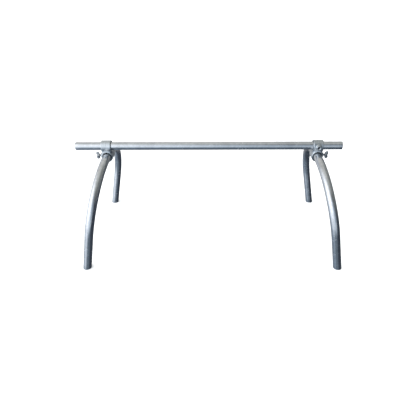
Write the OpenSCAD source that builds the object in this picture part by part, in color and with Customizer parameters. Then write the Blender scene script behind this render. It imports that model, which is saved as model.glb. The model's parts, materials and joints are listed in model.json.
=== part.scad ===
// Folding tube trestle: one straight crossbar on two bent leg arches. Each arch runs through
// the lower sleeve of a cast cross fitting and swivels there, so it folds flat under the bar.
// X runs along the crossbar, Z is up, and the origin is on the floor below the bar's middle.

/* [Tube] */
// Outside diameter of the crossbar and the leg arches
tube_d = 48.3; // [46:0.1:48.6]
// Wall thickness of the tube
tube_wall = 3.2; // [2.6:0.1:4]
// Length of the crossbar
bar_len = 1600; // [1500:10:2000]
// Height of the crossbar's axis above the floor
bar_h = 625; // [580:5:680]

/* [Leg arches] */
// Centreline radius of the two bends in an arch
bend_r = 345; // [250:5:360]
// Length of the straight stretch between the two bends
arch_straight = 80; // [76:1:120]
// Angle by which each arch leans outward from upright, in degrees
splay = 12; // [0:1:20]

/* [Cross fittings] */
// Distance of the left fitting from the middle of the bar
left_x = 614; // [400:1:650]
// Distance of the right fitting from the middle of the bar
right_x = 655; // [400:1:660]
// Distance from the bar's axis down to the arch's axis
axis_drop = 60; // [56:0.5:62]
// Bore of both sleeves
bore_d = 50.3; // [50.2:0.1:51.2]
// Outside diameter of the collar round the bar
collar_d = 68; // [62:0.5:70]
// Length of the collar
collar_len = 58; // [56:1:68]
// Outside diameter of the lower sleeve
sleeve_d = 67; // [61:0.5:68]
// Length of the lower sleeve
sleeve_len = 62; // [56:1:70]
// Width along the bar of the web between collar and sleeve
web_w = 52; // [40:1:54]
// Depth of the web from front to rear
web_l = 57; // [52:1:60]
// Chamfer on the edges of both sleeves
lip = 2; // [1:0.5:3]

/* [Screws] */
// Diameter of the tapped bosses
boss_d = 28; // [24:1:30]
// Distance from the collar's axis to the face of its boss
collar_boss = 45; // [42:1:50]
// Distance from the lower sleeve's axis to the face of its boss
sleeve_boss = 42; // [40:1:46]
// Thread diameter of both kinds of screw
screw_d = 12; // [10:1:12]
// Depth of the set screw's end below the face of its boss
screw_sunk = 4; // [1:0.5:5]
// Width across the flats of the hexagon socket
hex_af = 6; // [5:0.5:6]
// Length of thread showing between the lower boss and the wing screw's hub
neck = 9; // [3:1:10]
// Diameter of the wing screw's hub
hub_d = 20; // [18:1:22]
// Length of the wing screw's hub
hub_len = 14; // [12:1:16]
// Distance between the tips of the two wings
wing_span = 47; // [44:1:56]
// Thickness of the wings
wing_t = 8; // [4:0.5:9]

/* [Hidden] */
$fn = 96;
tube_r = tube_d / 2;
tube_ri = tube_r - tube_wall;
pivot_h = bar_h - axis_drop;             // height of both arch axes
leg_reach = pivot_h / cos(splay);        // from the arch's axis to the floor, along a leg
thread_gap = 0.05;                       // radial clearance of the screws in their threads
tip_gap = 0.2;                           // from a screw's tip to the tube that it presses on
foot_spare = 30;                         // length left on a leg for the level cut at the floor
hub_x = sleeve_boss + neck;              // where the hub starts, from the sleeve's axis
ear_r = 10.5;                            // radius of a wing's round ear
ear_out = 11.5;                          // how far the ears' centres stand out beyond the hub's start
notch = 3;                               // depth of the notch between the two ears
chamfer = 1;                             // small edge chamfer on tubes, hubs and screws
galvanised = [0.62, 0.66, 0.70];
casting = [0.56, 0.60, 0.64];
zinc = [0.72, 0.74, 0.77];
black_oxide = [0.16, 0.16, 0.17];

// Cylinder along +X from x = 0, with both of its edges chamfered.
module rod_x(r, len, c) {
    rotate([0, 90, 0])
        rotate_extrude()
            polygon([[0, 0], [r - c, 0], [r, c], [r, len - c], [r - c, len], [0, len]]);
}

// Places children, made for the right side, on the right fitting or turned round on the left one.
module at_fitting(side) {
    if (side == "right")
        translate([right_x, 0, bar_h]) children();
    else
        translate([-left_x, 0, bar_h]) rotate([0, 0, 180]) children();
}

// Straight tube along +Z from z = 0.
module tube(len) {
    linear_extrude(len)
        difference() {
            circle(tube_r);
            circle(tube_ri);
        }
}

// Crossbar: one straight open-ended tube along X.
module crossbar() {
    color(galvanised)
        translate([-bar_len / 2, 0, bar_h])
            difference() {
                rod_x(tube_r, bar_len, chamfer);
                translate([-1, 0, 0]) rod_x(tube_ri, bar_len + 2, 0.5);
            }
}

// One half of an arch, on the +Y side: straight stretch, bend, and leg down past the floor.
module half_arch() {
    bend_y = arch_straight / 2;
    rotate([-90, 0, 0]) tube(bend_y);
    translate([0, bend_y, -bend_r])
        rotate([0, -90, 0])
            rotate_extrude(angle = 90)
                translate([bend_r, 0])
                    difference() {
                        circle(tube_r);
                        circle(tube_ri);
                    }
    translate([0, bend_y + bend_r, -leg_reach - foot_spare])
        tube(leg_reach + foot_spare - bend_r);
}

// Leg arch: one tube bent down at both ends, cut level where its two feet meet the floor.
module leg_arch(side) {
    color(galvanised)
        difference() {
            at_fitting(side)
                translate([0, 0, -axis_drop])
                    rotate([0, -splay, 0]) {
                        half_arch();
                        mirror([0, 1, 0]) half_arch();
                    }
            translate([-bar_len, -bar_len, -2 * foot_spare])
                cube([2 * bar_len, 2 * bar_len, 2 * foot_spare]);
        }
}

// Cross fitting: collar round the bar, lower sleeve at right angles under it, a web between
// them, and one tapped boss on each.
module cross_fitting(side) {
    color(casting)
        at_fitting(side)
            difference() {
                union() {
                    translate([-collar_len / 2, 0, 0])
                        rod_x(collar_d / 2, collar_len, lip);
                    translate([0, -sleeve_len / 2, -axis_drop])
                        rotate([0, 0, 90]) rod_x(sleeve_d / 2, sleeve_len, lip);
                    translate([-web_w / 2, -web_l / 2, -axis_drop]) cube([web_w, web_l, axis_drop]);
                    rotate([0, 0, -90]) rod_x(boss_d / 2, collar_boss, lip);
                    translate([0, 0, -axis_drop]) rod_x(boss_d / 2, sleeve_boss, lip);
                }
                translate([-collar_len, 0, 0]) rod_x(bore_d / 2, 2 * collar_len, lip);
                translate([0, -sleeve_len, -axis_drop])
                    rotate([0, 0, 90]) rod_x(bore_d / 2, 2 * sleeve_len, lip);
                rotate([0, 0, -90])
                    rod_x(screw_d / 2 + thread_gap, collar_boss + 1, 0.5);
                translate([0, 0, -axis_drop])
                    rod_x(screw_d / 2 + thread_gap, sleeve_boss + 1, 0.5);
            }
}

// Outline of one wing, in the plane of the screw's axis: root on the hub, flaring to a round ear.
module wing_outline() {
    ear_z = wing_span / 2 - ear_r;
    notch_x = ear_out + ear_r - notch;
    union() {
        polygon([
            [1, 0], [1, hub_d / 2 - 2], [ear_out - ear_r * 0.8, ear_z - ear_r * 0.55],
            [ear_out, ear_z], [ear_out + ear_r * 0.85, ear_z - ear_r * 0.52],
            [notch_x, ear_z / 3], [notch_x, 0]
        ]);
        translate([ear_out, ear_z]) circle(ear_r);
    }
}

// Wing screw: thread through the lower boss, hub and two flared wings, all one piece.
module wing_screw(side) {
    color(zinc)
        at_fitting(side)
            translate([0, 0, -axis_drop]) {
                translate([tube_r + tip_gap, 0, 0])
                    rod_x(screw_d / 2, hub_x + 1 - tube_r - tip_gap, chamfer);
                translate([hub_x, 0, 0]) rod_x(hub_d / 2, hub_len, 2 * chamfer);
                translate([hub_x, wing_t / 2, 0])
                    rotate([90, 0, 0])
                        linear_extrude(wing_t) {
                            wing_outline();
                            mirror([0, 1]) wing_outline();
                        }
            }
}

// Set screw: headless, sunk in the collar's boss, with a hexagon socket in its outer end.
module set_screw(side) {
    outer = collar_boss - screw_sunk;
    inner = tube_r + tip_gap;
    color(black_oxide)
        at_fitting(side)
            rotate([0, 0, -90])
                difference() {
                    translate([inner, 0, 0]) rod_x(screw_d / 2, outer - inner, chamfer);
                    translate([outer - hex_af, 0, 0])
                        rotate([0, 90, 0])
                            cylinder(h = hex_af + 1, d = hex_af / cos(30), $fn = 6);
                }
}

crossbar();
cross_fitting("left");  // left_cross_fitting
cross_fitting("right");  // right_cross_fitting
leg_arch("left");  // left_leg_arch
leg_arch("right");  // right_leg_arch
wing_screw("left");  // left_wing_screw
wing_screw("right");  // right_wing_screw
set_screw("left");  // left_set_screw
set_screw("right");  // right_set_screw
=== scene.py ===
"""Folding tube trestle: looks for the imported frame. Metres, +Z up, same frame as the CAD."""

import json
from math import atan, cos, exp, pi, radians, sin

import bmesh
import bpy
import numpy as np
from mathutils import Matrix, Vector

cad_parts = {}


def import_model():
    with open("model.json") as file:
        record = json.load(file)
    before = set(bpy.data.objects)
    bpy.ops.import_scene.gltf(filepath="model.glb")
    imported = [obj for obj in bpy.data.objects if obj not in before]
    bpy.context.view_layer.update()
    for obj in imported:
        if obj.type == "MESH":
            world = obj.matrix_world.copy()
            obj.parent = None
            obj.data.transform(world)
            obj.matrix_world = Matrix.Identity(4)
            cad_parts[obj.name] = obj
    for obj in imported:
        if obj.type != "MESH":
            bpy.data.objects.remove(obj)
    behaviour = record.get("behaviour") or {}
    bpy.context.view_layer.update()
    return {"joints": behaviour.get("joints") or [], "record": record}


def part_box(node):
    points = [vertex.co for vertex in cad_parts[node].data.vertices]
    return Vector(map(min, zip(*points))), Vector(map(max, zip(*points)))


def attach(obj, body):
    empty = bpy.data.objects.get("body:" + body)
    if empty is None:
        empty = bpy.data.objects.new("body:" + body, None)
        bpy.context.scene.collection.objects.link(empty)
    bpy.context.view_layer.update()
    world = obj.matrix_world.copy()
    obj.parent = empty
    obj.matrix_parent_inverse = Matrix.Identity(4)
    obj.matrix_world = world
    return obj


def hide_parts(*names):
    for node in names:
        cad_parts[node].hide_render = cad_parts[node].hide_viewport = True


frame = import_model()

MM = 0.001
SIDES = {"left": -1, "right": 1}

# Camera: the photograph's viewing angle.
CAMERA_AT = (0.019, -2.086, 1.503)
CAMERA_TURN = (57.64, 0.35, 0.45)  # degrees about X, Y and Z
CAMERA_LENS = 32.07  # mm, on a 36 mm sensor

# Tube details that the CAD boxes don't give.
WALL = 3.2 * MM
ARCH_STRAIGHT = 80 * MM  # between an arch's two bends
SEAM_HEIGHT = 0.7 * MM  # weld bead inside the tube
SEAM_WIDTH = 0.06  # radians
SEAM_AT = 0.7 * pi  # place of the bead round the tube
EDGE = 1.0 * MM  # rounding of cut tube ends
EDGE_STEPS = 4
OVAL = 0.02  # share by which a bend widens across its plane
OVAL_EASE = 6  # steps over which that comes and goes at a bend's ends
ROUND = 96  # points round a tube
BAR_STEPS = 64  # lengths along the crossbar
BEND_STEPS = 40  # lengths along a bend
CUT_ANGLE = 50  # degrees; steeper edges of a tube stay crisp
SCREW_ANGLE = 35  # the same on a screw


# ---------------------------------------------------------------- mesh helpers

def new_object(name, verts, faces, smooth=True):
    """A mesh object from vertices in metres and faces, with normals made consistent."""
    mesh = bpy.data.meshes.new(name)
    mesh.from_pydata([tuple(v) for v in verts], [], faces)
    mesh.update()
    bm = bmesh.new()
    bm.from_mesh(mesh)
    bmesh.ops.recalc_face_normals(bm, faces=bm.faces)
    bm.to_mesh(mesh)
    bm.free()
    for polygon in mesh.polygons:
        polygon.use_smooth = smooth
    obj = bpy.data.objects.new(name, mesh)
    bpy.context.scene.collection.objects.link(obj)
    return obj


def loft(name, rings, closed=False):
    """Skins rings of equal length in order: capped at both ends, or closed into a loop."""
    n = len(rings[0])
    verts = [p for ring in rings for p in ring]
    pairs = list(zip(range(len(rings) - 1), range(1, len(rings))))
    if closed:
        pairs.append((len(rings) - 1, 0))
    faces = []
    for a, b in pairs:
        for i in range(n):
            j = (i + 1) % n
            faces.append((a * n + i, a * n + j, b * n + j, b * n + i))
    if not closed:
        faces.append(tuple(range(n)))
        faces.append(tuple(range((len(rings) - 1) * n, len(rings) * n)))
    return new_object(name, verts, faces)


def sharpen(obj, angle):
    """Keeps edges steeper than the angle crisp in the shading."""
    mesh = obj.data
    bm = bmesh.new()
    bm.from_mesh(mesh)
    for edge in bm.edges:
        edge.smooth = not (edge.is_manifold and edge.calc_face_angle(0) > radians(angle))
    bm.to_mesh(mesh)
    bm.free()


# ---------------------------------------------------------------- distance fields (in mm)

NET_PASSES = 6  # moves of a mesh's vertices towards the surface
NET_PROBE = 0.02  # distance of the probes that measure a slope, in steps of the grid
FLATTEST = 0.05  # least squared slope that a move is worked out from


def smooth_min(a, b, k):
    """Union of two fields with a fillet about k / 2 deep."""
    h = np.maximum(k - np.abs(a - b), 0) / k
    return np.minimum(a, b) - h * h * k / 4


def smooth_max(a, b, k):
    """Intersection of two fields with the edge rounded."""
    return -smooth_min(-a, -b, k)


def rounded(across, along, e):
    """A solid limited by two fields, with edges rounded to radius e."""
    across, along = across + e, along + e
    outside = np.hypot(np.maximum(across, 0), np.maximum(along, 0))
    return np.minimum(np.maximum(across, along), 0) + outside - e


def rod(u, v, w, r, low, high, e):
    """Cylinder of radius r round the axis u = v = 0, from w = low to high."""
    return rounded(np.hypot(u, v) - r, np.abs(w - (low + high) / 2) - (high - low) / 2, e)


def rounded_box(u, v, half_u, half_v, r):
    """Endless post round the axis u = v = 0, with corners of radius r."""
    u, v = np.abs(u) - half_u + r, np.abs(v) - half_v + r
    return np.minimum(np.maximum(u, v), 0) + np.hypot(np.maximum(u, 0), np.maximum(v, 0)) - r


def capsule(x, z, start, end, r_start, r_end):
    """Tapered stadium in a plane, from start to end."""
    dx, dz = end[0] - start[0], end[1] - start[1]
    t = np.clip(((x - start[0]) * dx + (z - start[1]) * dz) / (dx * dx + dz * dz), 0, 1)
    return np.hypot(x - start[0] - t * dx, z - start[1] - t * dz) - (r_start + t * (r_end - r_start))


def slope_of(field, points, probe):
    """Gradient of the field at the points, from probes to both sides along each axis."""
    steps = np.eye(3) * probe
    return np.stack([(field(*(points + d).T) - field(*(points - d).T)) / (2 * probe) for d in steps], -1)


def onto_surface(field, points, step):
    """Points moved along the field's slope onto field = 0, by a step at the most in each direction."""
    start = points.copy()
    for _ in range(NET_PASSES):
        slope = slope_of(field, points, step * NET_PROBE)
        size = np.maximum((slope ** 2).sum(1), FLATTEST)
        points = points - np.clip(field(*points.T)[:, None] * slope / size[:, None], -step, step)
    return np.clip(points, start - step, start + step)


def net_faces(inside, index):
    """One quad round each grid line that crosses the surface, through the four cells beside it."""
    cells = index.shape
    faces = []
    for axis in range(3):
        b, c = [a for a in range(3) if a != axis]
        near = [slice(None)] * 3
        far = [slice(None)] * 3
        near[axis] = slice(0, -1)
        far[axis] = slice(1, None)
        for edge in np.argwhere(inside[tuple(near)] != inside[tuple(far)]):
            if edge[b] == 0 or edge[c] == 0 or edge[b] >= cells[b] or edge[c] >= cells[c]:
                continue
            quad = []
            for db, dc in ((0, 0), (1, 0), (1, 1), (0, 1)):
                cell = edge.copy()
                cell[b] -= db
                cell[c] -= dc
                quad.append(int(index[tuple(cell)]))
            faces.append(tuple(quad))
    return faces


def surface_net(field, low, high, step):
    """Quad mesh of field = 0 inside the box, in mm: one vertex per crossed cell, moved onto the surface."""
    grid = np.meshgrid(*[np.arange(a, b + step, step) for a, b in zip(low, high)], indexing="ij")
    inside = field(*grid) < 0
    cells = tuple(n - 1 for n in inside.shape)
    corners = [inside[i:i + cells[0], j:j + cells[1], k:k + cells[2]]
               for i in (0, 1) for j in (0, 1) for k in (0, 1)]
    count = np.sum(corners, axis=0)
    active = (count > 0) & (count < 8)
    index = np.full(cells, -1)
    index[active] = np.arange(active.sum())
    middles = np.array(low) + (np.argwhere(active) + 0.5) * step
    return onto_surface(field, middles, step), net_faces(inside, index)


# ---------------------------------------------------------------- materials

class Nodes:
    """Short way to build a node tree."""

    def __init__(self, tree):
        self.tree = tree
        tree.nodes.clear()

    def add(self, kind, links=(), **settings):
        node = self.tree.nodes.new(kind)
        for key, value in settings.items():
            if hasattr(node, key):
                setattr(node, key, value)
            else:
                node.inputs[key.replace("_", " ")].default_value = value
        for socket, source in dict(links).items():
            self.tree.links.new(source, node.inputs[socket])
        return node

    def noise(self, coords, scale, detail=3.0, roughness=0.55, distortion=0.0):
        node = self.add("ShaderNodeTexNoise", {"Vector": coords})
        node.inputs["Scale"].default_value = scale
        node.inputs["Detail"].default_value = detail
        node.inputs["Roughness"].default_value = roughness
        node.inputs["Distortion"].default_value = distortion
        return node.outputs["Fac"]

    def fit(self, source, low, high, to_low, to_high):
        """Maps low..high of the source to to_low..to_high, clamped."""
        node = self.add("ShaderNodeMapRange", {"Value": source})
        settings = {"From Min": low, "From Max": high, "To Min": to_low, "To Max": to_high}
        for key, value in settings.items():
            node.inputs[key].default_value = value
        return node.outputs["Result"]

    def bump(self, height, distance, normal=None):
        """Normals of a surface raised by up to the distance, in mm, where the height is 1."""
        links = {"Height": height}
        if normal is not None:
            links["Normal"] = normal
        node = self.add("ShaderNodeBump", links)
        node.inputs["Distance"].default_value = distance * MM
        return node.outputs[0]

    def maths(self, operation, a, b):
        node = self.add("ShaderNodeMath", operation=operation)
        for socket, value in zip(node.inputs, (a, b)):
            if isinstance(value, (int, float)):
                socket.default_value = value
            else:
                self.tree.links.new(value, socket)
        return node.outputs[0]

    def mix(self, factor, a, b, blend="MIX"):
        node = self.add("ShaderNodeMix", data_type="RGBA", blend_type=blend)
        for socket, value in ((node.inputs[0], factor), (node.inputs[6], a), (node.inputs[7], b)):
            if isinstance(value, (int, float)):
                socket.default_value = value
            elif isinstance(value, tuple):
                socket.default_value = (*value, 1)
            else:
                self.tree.links.new(value, socket)
        return node.outputs[2]


# Scales of the zinc's features: roughly how many fit in a metre.
CRYSTAL_SCALE = 75
WARP_SCALE = 60
CLOUD_SCALE = 22
PATCH_SCALE = 7
SPECK_SCALE = 260
WAVE_SCALE = 34
DROSS_SCALE = 38
WARP = 0.012  # how far the crystals' outlines are bent, in metres
DROSS = 0.5  # height of the few small zinc pimples, in mm


def crystals(n, coords):
    """Two random values for each crystal of the spangle, which has bent outlines."""
    warp = n.add("ShaderNodeTexNoise", {"Vector": coords})
    warp.inputs["Scale"].default_value = WARP_SCALE
    bend = n.add("ShaderNodeVectorMath", {0: warp.outputs["Color"]}, operation="SCALE")
    bend.inputs["Scale"].default_value = WARP
    moved = n.add("ShaderNodeVectorMath", {0: coords, 1: bend.outputs[0]}, operation="ADD")
    crystal = n.add("ShaderNodeTexVoronoi", {"Vector": moved.outputs[0]}, feature="F1")
    crystal.inputs["Scale"].default_value = CRYSTAL_SCALE
    cell = n.add("ShaderNodeSeparateColor", {"Color": crystal.outputs["Color"]})
    return cell.outputs[0], cell.outputs[1]


def zinc_colour(n, coords, light, dark, spangle, shade, cloud, speck):
    """Clouds and patches between the two colours, with each crystal a little lighter or darker."""
    patch = n.noise(coords, PATCH_SCALE, 3, 0.5, 0.3)
    tone = n.maths("ADD", n.fit(cloud, 0.3, 0.7, 0, 0.55), n.fit(patch, 0.35, 0.65, 0, 0.45))
    bright = n.fit(shade, 0, 1, 1 - spangle, 1 + spangle * 0.6)
    bright = n.maths("MULTIPLY", bright, n.fit(speck, 0.35, 0.7, 0.97, 1.02))
    tint = n.add("ShaderNodeCombineColor")
    for socket in tint.inputs[:3]:
        n.tree.links.new(bright, socket)
    return n.mix(1.0, n.mix(tone, dark, light), tint.outputs[0], "MULTIPLY")


def zinc_normal(n, coords, waves, grain, speck):
    """Bump of scattered pimples, slow waves and fine grain, with waves and grain in mm."""
    pimple = n.add("ShaderNodeTexVoronoi", {"Vector": coords}, feature="F1")
    pimple.inputs["Scale"].default_value = DROSS_SCALE
    pick = n.add("ShaderNodeSeparateColor", {"Color": pimple.outputs["Color"]})
    dross = n.maths("MULTIPLY", n.fit(pimple.outputs["Distance"], 0.03, 0.10, 1, 0),
                    n.fit(pick.outputs[0], 0.80, 0.85, 0, 1))
    normal = n.bump(dross, DROSS)
    normal = n.bump(n.noise(coords, WAVE_SCALE, 2, 0.4), waves, normal)
    return n.bump(speck, grain, normal)


def zinc_surface(name, light, dark, spangle, rough, waves, grain):
    """Zinc-coated steel, or a near-black that paints shade: spangle, cloudy mottling, and bump from waves
    and grain.
    """
    material = bpy.data.materials.new(name)
    material.use_nodes = True
    n = Nodes(material.node_tree)
    coords = n.add("ShaderNodeTexCoord").outputs["Object"]
    shade, gloss = crystals(n, coords)
    cloud = n.noise(coords, CLOUD_SCALE, 5, 0.6, 0.6)
    speck = n.noise(coords, SPECK_SCALE, 3, 0.65)
    roughness = n.maths("ADD", n.fit(gloss, 0, 1, rough - 0.05, rough + 0.05),
                        n.fit(cloud, 0.35, 0.7, -0.05, 0.09))
    shader = n.add("ShaderNodeBsdfPrincipled", {
        "Base Color": zinc_colour(n, coords, light, dark, spangle, shade, cloud, speck),
        "Roughness": roughness,
        "Normal": zinc_normal(n, coords, waves, grain, speck),
    })
    shader.inputs["Metallic"].default_value = 1.0
    n.add("ShaderNodeOutputMaterial", {"Surface": shader.outputs[0]})
    return material


TUBE = zinc_surface("galvanised_tube", light=(0.72, 0.73, 0.74), dark=(0.56, 0.57, 0.59),
                    spangle=0.06, rough=0.18, waves=0.08, grain=0.002)
CAST = zinc_surface("galvanised_casting", light=(0.64, 0.67, 0.69), dark=(0.45, 0.48, 0.50),
                    spangle=0.06, rough=0.28, waves=0.5, grain=0.05)
ZINC = zinc_surface("zinc_plated_screw", light=(0.52, 0.53, 0.53), dark=(0.30, 0.31, 0.32),
                    spangle=0.06, rough=0.26, waves=0.1, grain=0.01)
# The set screws are near-black: painted shade for the recess in the boss that they sit in.
SET_SCREW_SHADE = zinc_surface("near_black_shaded_screw", light=(0.16, 0.16, 0.17), dark=(0.08, 0.08, 0.09),
                     spangle=0.05, rough=0.35, waves=0.05, grain=0.01)


def wear(obj, material):
    obj.data.materials.clear()
    obj.data.materials.append(material)


# ---------------------------------------------------------------- places from the frame

JOINTS = {joint["name"]: joint for joint in frame["joints"]}
bar_low, bar_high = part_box("crossbar")
BAR_R = (bar_high.z - bar_low.z) / 2
BAR_H = (bar_high.z + bar_low.z) / 2
TUBE_RI = BAR_R - WALL


def pivot(side):
    """Centre of a fitting's lower sleeve, where its arch swivels."""
    return Vector(JOINTS[side + "_arch_swivel"]["pos_m"])


AXIS_DROP = BAR_H - pivot("left").z


def finish_piece(obj, node, material):
    """Gives a piece its material, and puts it in its CAD node's place."""
    wear(obj, material)
    body = next(b for b, names in frame["record"]["behaviour"]["bodies"].items() if node in names)
    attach(obj, body)
    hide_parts(node)


# ---------------------------------------------------------------- tubes

def section(angle, inner, oval=0.0):
    """Half widths across the bend's plane and in it, for a point at this angle round the tube."""
    if inner:
        turn = (angle - SEAM_AT + pi) % (2 * pi) - pi
        r = TUBE_RI - SEAM_HEIGHT * exp(-(turn / SEAM_WIDTH) ** 2)
    else:
        r = BAR_R
    return r * (1 + oval), r * (1 - oval)


def ring_angles():
    return [2 * pi * i / ROUND for i in range(ROUND)]


def cut_edge(inner):
    """(inset of the radius, distance from the cut) from a tube's cut face to its wall."""
    if inner:
        return [(-EDGE / 2, 0), (0, EDGE / 2)]
    turns = [pi / 2 * i / EDGE_STEPS for i in range(EDGE_STEPS + 1)]
    return [(EDGE * (1 - sin(a)), EDGE * (1 - cos(a))) for a in turns]


def crossbar():
    """Straight tube with rounded cut ends and a weld bead inside."""

    def ring(x, inset, inner):
        points = []
        for a in ring_angles():
            r = section(a, inner)[0] - inset
            points.append((x, r * cos(a), BAR_H + r * sin(a)))
        return points

    low, high = bar_low.x, bar_high.x
    length = high - low - 2 * EDGE
    rings = [ring(low + back, inset, False) for inset, back in cut_edge(False)]
    rings += [ring(low + EDGE + length * i / BAR_STEPS, 0, False) for i in range(1, BAR_STEPS)]
    rings += [ring(high - back, inset, False) for inset, back in reversed(cut_edge(False))]
    rings += [ring(high - back, inset, True) for inset, back in cut_edge(True)]
    rings.append(ring(0, 0, True))
    rings += [ring(low + back, inset, True) for inset, back in reversed(cut_edge(True))]
    obj = loft("crossbar_tube", rings, closed=True)
    sharpen(obj, CUT_ANGLE)
    finish_piece(obj, "crossbar", TUBE)


def foot_lean(side):
    """How far the arch leans outward, from the places of its pivot and its feet."""
    low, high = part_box(side + "_leg_arch")
    centre = pivot(side)
    edge = abs((high.x if side == "right" else low.x) - centre.x)
    lean = 0.0
    for _ in range(20):  # a foot's edge is half a tube out from its axis, slanted by the lean itself
        lean = atan((edge - BAR_R / cos(lean)) / centre.z)
    return lean


def half_arch_axis(down, radius, reach):
    """Half an arch's axis, from its middle to near its foot: (place from the pivot, direction, ovality)."""
    start = ARCH_STRAIGHT / 2
    points = [(Vector((0, start * share, 0)), Vector((0, 1, 0)), 0.0) for share in (0, 0.5, 0.95)]
    for i in range(BEND_STEPS + 1):
        turn = pi / 2 * i / BEND_STEPS
        place = Vector((0, start + radius * sin(turn), 0)) + down * radius * (1 - cos(turn))
        way = Vector((0, cos(turn), 0)) + down * sin(turn)
        ease = min(1, i / OVAL_EASE, (BEND_STEPS - i) / OVAL_EASE)
        points.append((place, way, OVAL * ease))
    for share in (0.1, 0.3, 0.5, 0.7, 0.85):
        place = Vector((0, start + radius, 0)) + down * (radius + (reach - radius) * share)
        points.append((place, down, 0.0))
    return points


def arch(side):
    """One bent tube: both legs, oval in the bends, cut level at the floor."""
    low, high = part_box(side + "_leg_arch")
    centre = pivot(side)
    lean = foot_lean(side)
    down = Vector((SIDES[side] * sin(lean), 0, -cos(lean)))
    across = Vector((0, 1, 0)).cross(down).normalized()
    foot_y = (high.y - low.y) / 2 - BAR_R
    reach = centre.z / cos(lean)
    half = half_arch_axis(down, foot_y - ARCH_STRAIGHT / 2, reach)

    def ring(place, way, inner, oval=0.0, inset=0.0):
        out = across.cross(way).normalized()
        points = []
        for a in ring_angles():
            wide, tall = section(a, inner, oval)
            offset = across * (wide - inset) * cos(a) + out * (tall - inset) * sin(a)
            points.append(centre + place + offset)
        return points

    def foot_rings(end, inner):
        """Rings from the level cut up to the wall, at the front (-1) or the rear (1)."""
        foot = Vector((0, end * foot_y, 0)) + down * reach
        rings = []
        for inset, height in cut_edge(inner):
            points = ring(foot, down * end, inner, inset=inset)
            rings.append([p + down * ((height - p.z) / down.z) for p in points])
        return rings

    def wall(inner):
        """Rings from the front foot over the top to the rear foot."""
        front = [ring(Vector((p.x, -p.y, p.z)), Vector((-w.x, w.y, -w.z)), inner, oval)
                 for p, w, oval in reversed(half[1:])]
        rear = [ring(p, w, inner, oval) for p, w, oval in half]
        return foot_rings(-1, inner) + front + rear + foot_rings(1, inner)[::-1]

    obj = loft(side + "_arch_tube", wall(False) + wall(True)[::-1], closed=True)
    sharpen(obj, CUT_ANGLE)
    finish_piece(obj, side + "_leg_arch", TUBE)


# ---------------------------------------------------------------- cross fittings

# Sizes of a casting, in mm. Half lengths are measured from its middle.
COLLAR_R = 34
COLLAR_HALF = 29
SLEEVE_R = 33.5
SLEEVE_HALF = 31
WEB = (26, 28.5)  # half width along the bar, half depth from front to rear
WEB_CORNER = 9
BORE_R = 25.15
LEAD_IN = 6  # depth of the flare at a bore's mouth
COLLAR_FLARE = 0.45  # what the bore's radius grows by for each mm of the lead-in
SLEEVE_FLARE = 0.62
BOSS_R = 14.2  # where a boss leaves the casting
BOSS_TAPER = 0.05
COLLAR_BOSS = 45  # from the collar's axis to the face of its boss
SLEEVE_BOSS = 42
TAPPED_R = 6.15
COUNTERSINK = 3.2
FILLET = 12
BOSS_FILLET = 7
CAST_EDGE = 2.4  # rounding of the sleeves' edges
BOSS_EDGE = 1.6
COLLAR_MOUTH = 1.0  # rounding of the edges of the bores and the tapped holes
SLEEVE_MOUTH = 1.4
TAPPED_MOUTH = 0.8
PARTING = 0.35  # height of the mould's parting line
PARTING_WIDTH = 0.9
PARTING_FRONT = -28  # it fades out here, before the boss on the front
PARTING_FADE = 6
PARTING_DEPTH = 4  # and it lies no deeper than this in the sleeve's wall


def flared(across, along, half, slope):
    """A bore whose mouths open out over the lead-in."""
    return across - (BORE_R + np.maximum(np.abs(along) - half + LEAD_IN, 0) * slope)


def boss(across, along, root, face):
    """A tapered boss from the axis to its face, with its stated radius at the root."""
    radius = BOSS_R + BOSS_TAPER * (root - along)
    return rounded(across - radius, np.maximum(along - face, -along), BOSS_EDGE)


def tapped_hole(across, along, face):
    """A tapped hole with a countersunk mouth, open from the axis to the boss's face."""
    return np.maximum(across - (TAPPED_R + np.maximum(along - face + COUNTERSINK, 0)), -along)


def parting_line(x, y, low):
    """Height of the thin ridge that the mould's halves leave round the casting's middle."""
    fade = np.clip((y - PARTING_FRONT) / PARTING_FADE, 0, 1)
    outside = np.hypot(x, low) > SLEEVE_R - PARTING_DEPTH
    return PARTING * np.exp(-(x / PARTING_WIDTH) ** 2) * fade * outside


def fitting_field(x, y, z):
    """Casting in mm: bar axis at the origin along X, sleeve axis below along Y, as on the right side."""
    low = z + AXIS_DROP / MM
    from_bar, from_arch = np.hypot(y, z), np.hypot(x, low)
    from_set, from_wing = np.hypot(x, z), np.hypot(y, low)
    collar = rod(y, z, x, COLLAR_R, -COLLAR_HALF, COLLAR_HALF, CAST_EDGE)
    sleeve = rod(x, low, y, SLEEVE_R, -SLEEVE_HALF, SLEEVE_HALF, CAST_EDGE)
    web = rounded_box(x, y, *WEB, WEB_CORNER)
    web = np.maximum(web, np.abs(z + low) / 2 - AXIS_DROP / MM / 2)
    body = smooth_min(smooth_min(collar, sleeve, FILLET), web, FILLET)
    body = smooth_min(body, boss(from_set, -y, COLLAR_R, COLLAR_BOSS), BOSS_FILLET)
    body = smooth_min(body, boss(from_wing, x, SLEEVE_R, SLEEVE_BOSS), BOSS_FILLET)
    body = body - parting_line(x, y, low)
    body = smooth_max(body, -flared(from_bar, x, COLLAR_HALF, COLLAR_FLARE), COLLAR_MOUTH)
    body = smooth_max(body, -flared(from_arch, y, SLEEVE_HALF, SLEEVE_FLARE), SLEEVE_MOUTH)
    body = smooth_max(body, -tapped_hole(from_set, -y, COLLAR_BOSS), TAPPED_MOUTH)
    return smooth_max(body, -tapped_hole(from_wing, x, SLEEVE_BOSS), TAPPED_MOUTH)


def place_on_side(points, side):
    """Points in mm made for the right fitting, in metres on this side's fitting."""
    turn = SIDES[side]
    origin = np.array([pivot(side).x, 0, BAR_H])
    return points * MM * np.array([turn, turn, 1]) + origin


def cross_fitting(side, net):
    """One casting, from the mesh made for the right side."""
    points, faces = net
    obj = new_object(side + "_fitting_casting", place_on_side(points, side), faces)
    finish_piece(obj, side + "_cross_fitting", CAST)


# ---------------------------------------------------------------- screws

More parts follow.
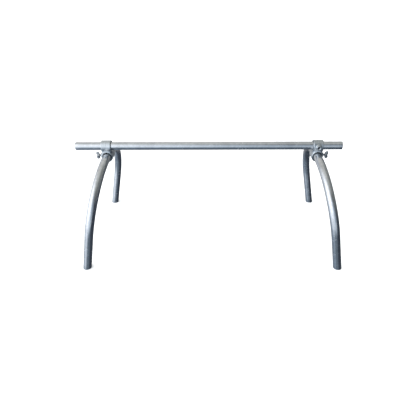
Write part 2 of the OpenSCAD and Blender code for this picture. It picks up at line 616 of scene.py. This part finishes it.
# Sizes of both kinds of screw, in mm.
PITCH = 1.75
THREAD_R = 6.0
THREAD_DEPTH = 0.95
THREAD_STEP = 0.22  # between two rings of a thread
FLANK = 1.35  # steepness of the flanks, over 1 so that the root is flat
CREST = 0.12  # what is taken off the top of them, so that the crest is flat
SCREW_ROUND = 48  # points round a screw
TIP_GAP = 0.25  # from a screw's tip to the tube that it presses on
TIP_CHAMFER = 1.2
SCREW_SUNK = 4.0  # depth of the set screw's end below its boss's face
END_CHAMFER = 1.0
HIDDEN_CHAMFER = 0.01  # on the end of the wing screw's thread, inside its hub
HALF_FLAT = 3.0  # half the width across the flats of its hexagon socket
SOCKET = ((0, 1.12), (0.5, 1), (6, 1), (7.4, 0.15))  # (depth, share of that width) down the socket


def thread_rings(start, end, tip, tail):
    """Rings of a helical M12 thread along +X from start to end, with chamfers tip and tail long."""
    rings = []
    steps = int((end - start) / THREAD_STEP)
    for i in range(steps + 1):
        x = start + (end - start) * i / steps
        chamfer = max(0, tip - (x - start)) + max(0, tail - (end - x))
        ring = []
        for k in range(SCREW_ROUND):
            a = 2 * pi * k / SCREW_ROUND
            phase = (x / PITCH - a / (2 * pi)) % 1
            depth = THREAD_DEPTH * min(1, max(0, FLANK * (1 - abs(2 * phase - 1)) - CREST))
            r = THREAD_R - max(depth, chamfer)
            ring.append((x, r * cos(a), r * sin(a)))
        rings.append(ring)
    return rings


# Sizes of a wing screw's head, in mm from the sleeve's axis along the screw and out from the screw's axis.
HUB = (51, 65)
HUB_R = 9.8
HUB_EDGE = 2.5
NECK = (49.8, 53)
NECK_R = 7.4
NECK_EDGE = 0.6
SHANK_END = 52.5  # where the thread stops, inside the hub
WING_ROOT = (61, 2)
EAR = (62.5, 13.2)
ROOT_R = 8.8
EAR_R = 10.3
WING_HALF = 3.6  # half thickness at the root
EAR_SWELL = 0.8  # what the ears have more than that
SWELL_FROM = 6  # and where it comes in
SWELL_OVER = 8
WING_ROUND = 3.4  # rounding of the wings' edges
CROWN = 0.02  # how quickly a wing gets thinner away from its ear's middle
WING_FILLET = 4.5
NECK_FILLET = 1


def wing_field(x, y, z):
    """Hub and wings of a wing screw, x along the screw from the sleeve's axis, wings in the XZ plane."""
    out = np.abs(z)
    hub = rod(y, z, x, HUB_R, *HUB, HUB_EDGE)
    neck = rod(y, z, x, NECK_R, *NECK, NECK_EDGE)
    blade = capsule(x, out, WING_ROOT, EAR, ROOT_R, EAR_R)
    half = WING_HALF + EAR_SWELL * np.clip((out - SWELL_FROM) / SWELL_OVER, 0, 1)
    half = half - CROWN * ((x - EAR[0]) ** 2 + np.maximum(out - EAR[1], 0) ** 2) / 2
    wing = rounded(blade, np.abs(y) - half, WING_ROUND)
    return smooth_min(smooth_min(hub, wing, WING_FILLET), neck, NECK_FILLET)


def on_lower_boss(points, side):
    """Points made along +X, in metres on this side's lower boss."""
    return place_on_side(np.array(points) - np.array([0, 0, AXIS_DROP / MM]), side)


def on_collar_boss(points, side):
    """Points made along +X, turned to the front of the right collar, in metres on this side's boss."""
    return place_on_side(np.array(points)[:, [1, 0, 2]] * np.array([1, -1, 1]), side)


def wing_screw(side, net):
    """Threaded shank and the winged head, one piece in two meshes."""
    node = side + "_wing_screw"
    points, faces = net
    head = new_object(side + "_wing_head", on_lower_boss(points, side), faces)
    finish_piece(head, node, ZINC)
    rings = thread_rings(BAR_R / MM + TIP_GAP, SHANK_END, TIP_CHAMFER, HIDDEN_CHAMFER)
    shank = loft(side + "_wing_thread", [list(on_lower_boss(ring, side)) for ring in rings])
    sharpen(shank, SCREW_ANGLE)
    finish_piece(shank, node, ZINC)


def hexagon(x, share):
    """Ring of a hexagon at x, with this share of the socket's width."""
    ring = []
    for k in range(SCREW_ROUND):
        a = 2 * pi * k / SCREW_ROUND
        off = (a + pi / 6) % (pi / 3) - pi / 6
        r = HALF_FLAT / cos(off) * share
        ring.append((x, r * cos(a), r * sin(a)))
    return ring


def set_screw(side):
    """Headless screw with a hexagon socket in its outer end."""
    end = COLLAR_BOSS - SCREW_SUNK
    rings = thread_rings(BAR_R / MM + TIP_GAP, end, TIP_CHAMFER, END_CHAMFER)
    rings += [hexagon(end - depth, share) for depth, share in SOCKET]
    obj = loft(side + "_socket_screw", [list(on_collar_boss(ring, side)) for ring in rings])
    sharpen(obj, SCREW_ANGLE)
    # near-black material: painted shade in the boss's recess
    finish_piece(obj, side + "_set_screw", SET_SCREW_SHADE)


# ---------------------------------------------------------------- stage, lights and camera

FLOOR_HALF = 30  # metres
FLOOR_TILES = 12  # along each side


def floor():
    """Wide pale floor that the zinc doesn't mirror."""
    lines = [FLOOR_HALF * (2 * i / FLOOR_TILES - 1) for i in range(FLOOR_TILES + 1)]
    verts = [(x, y, 0) for x in lines for y in lines]
    row = FLOOR_TILES + 1
    corners = [i * row + j for i in range(FLOOR_TILES) for j in range(FLOOR_TILES)]
    faces = [(a, a + 1, a + row + 1, a + row) for a in corners]
    obj = new_object("floor", verts, faces, smooth=False)
    material = bpy.data.materials.new("pale_floor")
    material.use_nodes = True
    shader = material.node_tree.nodes["Principled BSDF"]
    shader.inputs["Base Color"].default_value = (0.9, 0.9, 0.9, 1)
    shader.inputs["Roughness"].default_value = 0.9
    wear(obj, material)
    obj.visible_glossy = False


SURROUND = (  # (azimuth, elevation) from the front, (full, faded) radius, all in degrees, and colour
    ("window", (-56, 15), (14, 70), (1.06, 1.13, 1.22)),
    ("window middle", (-54, 26), (12, 44), (0.60, 0.58, 0.54)),
    ("room in front", (8, 6), (0, 46), (0.37, 0.44, 0.51)),
    ("bright strip on the right", (22, -8), (1, 13), (0.34, 0.35, 0.36)),
    ("bright strip in front", (0, -9), (1, 17), (0.19, 0.22, 0.25)),
    ("floor in front", (-14, -50), (4, 50), (0.115, 0.150, 0.180)),
    ("ceiling", (10, 76), (0, 38), (0.31, 0.32, 0.31)),
    ("wall behind", (-145, 22), (0, 85), (0.53, 0.52, 0.50)),
    ("ground on the left", (-100, -26), (24, 68), (0.18, 0.23, 0.29)),
    ("far corner", (128, 58), (25, 80), (0.22, 0.225, 0.20)),
)
GLOOM = (0.055, 0.067, 0.090)  # light from every direction


def world():
    """Surround that the zinc mirrors: soft round patches of light, brightest at the left in front."""
    scene = bpy.context.scene
    scene.world = bpy.data.worlds.new("surround")
    scene.world.use_nodes = True
    n = Nodes(scene.world.node_tree)
    way = n.add("ShaderNodeTexCoord").outputs["Generated"]
    total = None
    for name, (azimuth, elevation), (full, faded), colour in SURROUND:
        a, e = radians(azimuth), radians(elevation)
        towards = n.add("ShaderNodeVectorMath", {0: way}, operation="DOT_PRODUCT", label=name)
        towards.inputs[1].default_value = (sin(a) * cos(e), -cos(a) * cos(e), sin(e))
        patch = n.add("ShaderNodeMapRange", {"Value": towards.outputs["Value"]},
                      interpolation_type="SMOOTHSTEP")
        patch.inputs["From Min"].default_value = cos(radians(faded))
        patch.inputs["From Max"].default_value = cos(radians(full))
        light = n.add("ShaderNodeVectorMath", {"Scale": patch.outputs["Result"]}, operation="SCALE")
        light.inputs[0].default_value = colour
        so_far = n.add("ShaderNodeVectorMath", {0: light.outputs[0]}, operation="ADD")
        if total is None:
            so_far.inputs[1].default_value = GLOOM
        else:
            n.tree.links.new(total, so_far.inputs[1])
        total = so_far.outputs[0]
    sky = n.add("ShaderNodeBackground", {"Color": total})
    n.add("ShaderNodeOutputWorld", {"Surface": sky.outputs[0]})


def sun_light(name, aim, softness, strength):
    """Wide even light on the floor from a direction; the zinc mirrors only the surround."""
    data = bpy.data.lights.new(name, "SUN")
    data.energy = strength
    data.angle = radians(softness)
    obj = bpy.data.objects.new(name, data)
    obj.rotation_euler = (-Vector(aim)).to_track_quat("Z", "Y").to_euler()
    obj.visible_glossy = False
    bpy.context.scene.collection.objects.link(obj)


def camera():
    data = bpy.data.cameras.new("camera")
    data.sensor_width = 36
    data.lens = CAMERA_LENS
    obj = bpy.data.objects.new("camera", data)
    obj.location = CAMERA_AT
    obj.rotation_euler = [radians(a) for a in CAMERA_TURN]
    bpy.context.scene.collection.objects.link(obj)
    bpy.context.scene.camera = obj


camera()
world()
floor()
sun_light("soft_key", aim=(0.2, 0.2, -1), softness=120, strength=3.4)
bpy.context.scene.view_settings.view_transform = "Standard"

crossbar()
# The casting's grid starts on half millimetres, so that none of its planes lies in a flat face.
casting_net = surface_net(fitting_field, (-37.5, -48.5, -97.5), (45, 37, 37), 1.0)
wings_net = surface_net(wing_field, (45, -13, -28), (75, 13, 28), 0.5)
for side in SIDES:
    arch(side)
    cross_fitting(side, casting_net)
    wing_screw(side, wings_net)
    set_screw(side)
